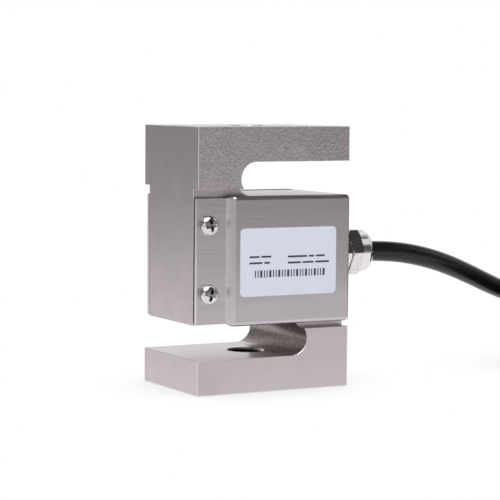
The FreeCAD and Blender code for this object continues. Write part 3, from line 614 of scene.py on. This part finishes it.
def helix(shape, low, high):
    """A thread's groove, from a pitch below low to a pitch above high."""
    count = math.ceil(((high - low) / THREAD_PITCH + 2) * THREAD_STEPS)
    rings = []
    for number in range(count):
        angle = 2 * math.pi * number / THREAD_STEPS
        rise = low + THREAD_PITCH * (number / THREAD_STEPS - 1)
        rings.append([(radius * MM * math.cos(angle), radius * MM * math.sin(angle),
                       rise + height * MM) for radius, height in THREAD_PROFILE])
    loft(shape, rings)


def threaded_beam():
    """The beam with M12 threads cut in both holes."""
    shape = bmesh.new()
    shape.from_mesh(frame["nodes"]["s_beam_body"].data)
    bmesh.ops.remove_doubles(shape, verts=shape.verts, dist=0.0005 * MM)
    item = add_piece("threaded_beam", shape, "beam_steel", "s_beam_body")
    for low in (beam_low.z, beam_high.z - ARM):
        groove = bmesh.new()
        helix(groove, low, low + ARM)
        carve(item, groove, THREAD_SHARP)
    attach(item, "root")


# Marks on the label, in fractions of its width and height from the top left: dashes and bars.
DASHES = [
    (0.42, [(0.092, 0.195), (0.215, 0.315)]),
    (0.51, [(0.092, 0.225), (0.245, 0.300)]),
    (0.43, [(0.490, 0.690), (0.710, 0.765), (0.785, 0.880)]),
    (0.52, [(0.490, 0.625), (0.645, 0.760), (0.780, 0.925)]),
]
DASH_HIGH = 0.027
BARS = (0.148, 0.865, 0.62, 0.725)          # left, right, top, bottom
BAR_WIDTHS = [0.011, 0.011, 0.022]
BAR_GAP = 0.0165
MARK_PROUD, MARK_SUNK = 0.02 * MM, 0.01 * MM


def label_marks():
    across, down = label_high.x - label_low.x, label_high.z - label_low.z
    shape = bmesh.new()

    def mark(left, right, top, bottom):
        low = Vector((label_low.x + left * across, label_low.y - MARK_PROUD,
                      label_high.z - bottom * down))
        high = Vector((label_low.x + right * across, label_low.y + MARK_SUNK,
                       label_high.z - top * down))
        place = Matrix.Translation((low + high) / 2) @ Matrix.Diagonal((*(high - low), 1))
        bmesh.ops.create_cube(shape, size=1, matrix=place)

    for height, dashes in DASHES:
        for left, right in dashes:
            mark(left, right, height - DASH_HIGH / 2, height + DASH_HIGH / 2)
    left, stop, top, bottom = BARS
    number = 0
    while left < stop:
        width = BAR_WIDTHS[number % len(BAR_WIDTHS)]
        mark(left, left + width, top, bottom)
        left += width + BAR_GAP
        number += 1
    item = add_piece("label_marks", shape, "label_film")
    item.data.materials[0] = MATERIALS["mark_ink"]
    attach(item, "root")


# ---- floor, backdrop and light -------------------------------------------------------------

FLOOR_SIZE = 3.0                            # from its middle to its edges
FLOOR_MIDDLE = (0.01, 0.01, 0)              # where the floor is brightest in reflections
FLOOR_FADE = (1.0, 0.20, 0.28, 0.84)        # bright, dim, and the distances at which it is so
SHADOW_REACH = 35 * MM
SHADOW = (0.72, 1.0, 0.1, 0.85)             # dark, bright, and how open the floor is there

# Levels of the surroundings as reflections show them, and the ways to them.
BEHIND, RIGHT, LEFT = (0.48, 0.877, 0), (0.48, -0.877, 0), (-0.80, -0.60, 0)
WALL = (0.0, 1.0, 0.42, 0.85)               # from the white wall's side edges to its middle
WALL_TOP = (1.0, 0.3, 0.5, 0.85)            # fading upward
ROOM = (0.20, 0.25, -0.2, 0.9)              # the dim room, lighter to the front right
ROOM_TOP = (1.0, 0.2, 0.05, 0.65)
CARD = (0.0, 0.95, 0.78, 0.95)              # a pale card on the left, a little to the front
CARD_TOP = (1.0, 0.2, 0.3, 0.6)
HIGH_WAY = (0.84, -0.16, 0.52)
HIGH_CARD = (0.0, 0.85, 0.96, 0.985)        # a small one, up on the right


def floor():
    """A white floor: plain white to the camera, with a soft shadow painted from ambient occlusion,
    and darker far out in reflections."""
    size = FLOOR_SIZE
    data = bpy.data.meshes.new("floor")
    data.from_pydata([(-size, -size, 0), (size, -size, 0), (size, size, 0), (-size, size, 0)], [],
                     [(0, 1, 2, 3)])
    item = add_object("floor", data)
    item.location.z = -0.1 * MM
    item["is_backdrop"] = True
    finish = Finish("floor_white")
    rays = finish.node("LightPath").outputs
    to_camera = rays["Is Camera Ray"]
    mirrored = finish.math("MAXIMUM", rays["Is Glossy Ray"], rays["Is Transmission Ray"])
    from_middle = finish.node("VectorMath", [("operation", "DISTANCE")], i0=finish.place,
                              i1=FLOOR_MIDDLE).outputs["Value"]
    # Painted contact shadow: ambient occlusion dims the floor near the object.
    open_share = finish.node("AmbientOcclusion", [("samples", 16)],
                             Distance=SHADOW_REACH).outputs["AO"]
    bright = finish.node("Mix", i0=to_camera, i2=finish.span(from_middle, *FLOOR_FADE),
                         i3=finish.span(open_share, *SHADOW)).outputs[0]
    glow = finish.node("Emission", Strength=bright).outputs[0]
    white = finish.node("BsdfDiffuse", Color=(0.8, 0.8, 0.8, 1)).outputs[0]
    mix = finish.node("MixShader", i0=finish.math("MAXIMUM", mirrored, to_camera), i1=white,
                      i2=glow)
    finish.fill(finish.tree.nodes["Material Output"], Surface=mix.outputs[0])
    finish.tree.nodes.remove(finish.shader)
    data.materials.append(finish.data)


def surroundings():
    """A white backdrop behind the object, a dim room on the camera's side, and two pale cards.
    The camera sees plain white."""
    world = bpy.data.worlds.new("studio")
    world.use_nodes = True
    bpy.context.scene.world = world
    world.node_tree.nodes.clear()
    studio = Nodes(world.node_tree)
    direction = studio.node("TexCoord").outputs["Generated"]
    height = studio.parts(direction)["Z"]
    ease = partial(studio.span, kind="SMOOTHSTEP")

    def facing(way):
        return studio.node("VectorMath", [("operation", "DOT_PRODUCT")], i0=direction,
                           i1=way).outputs["Value"]

    level = studio.node("LightPath").outputs["Is Camera Ray"]
    for thing in (studio.times(ease(facing(BEHIND), *WALL), ease(height, *WALL_TOP)),
                  studio.times(ease(facing(RIGHT), *ROOM), ease(height, *ROOM_TOP)),
                  studio.times(ease(facing(LEFT), *CARD), ease(height, *CARD_TOP)),
                  ease(facing(HIGH_WAY), *HIGH_CARD)):
        level = studio.math("MAXIMUM", level, thing)
    background = studio.node("Background", Color=(1, 1, 1, 1), Strength=level)
    studio.node("OutputWorld", Surface=background.outputs[0])


LAMP_SPOT, LAMP_AIM = Vector((-0.25, -0.35, 0.85)), Vector((0, 0, 0.03))
LAMP_SIZE, LAMP_POWER = 0.7, 9


def overhead_lamp():
    data = bpy.data.lights.new("overhead", "AREA")
    data.shape = "RECTANGLE"
    data.size = data.size_y = LAMP_SIZE
    data.energy = LAMP_POWER
    item = add_object("overhead", data)
    item.location = LAMP_SPOT
    item.rotation_euler = (LAMP_AIM - LAMP_SPOT).to_track_quat("-Z", "Y").to_euler()


# ---- build ---------------------------------------------------------------------------------

def wiring_outside():
    """The cable with its hank as one cord, and the leads at its end."""
    route = [Vector(point) * MM for point in ROUTE] + list(hank_points())
    cable = cord_curve("cable_jacket", route, CABLE, MATERIALS["cable_jacket"], widths=SWELL)
    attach(cable, "root")
    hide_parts("cable", "cable_hank")
    for step, colour in enumerate(LEADS, start=-2):
        slot = "lead_screen_metal" if colour == "screen" else f"lead_{colour}_skin"
        lead = cord_curve(f"core_{colour}", lead_points(step), LEAD_DIAMETER, MATERIALS[slot],
                          resolution=10)
        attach(lead, "root")
        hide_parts(f"lead_{colour}")
    tuple(route[0])


camera()
wiring_outside()
dress_nodes()
for node in CROSS_TURNS:
    screw(node)
threaded_beam()
label_marks()
floor()
surroundings()
overhead_lamp()

boxes = {"cad": CAD_BOX, "visual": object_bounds()}
{name: [list(corner) for corner in box] for name, box in boxes.items()}
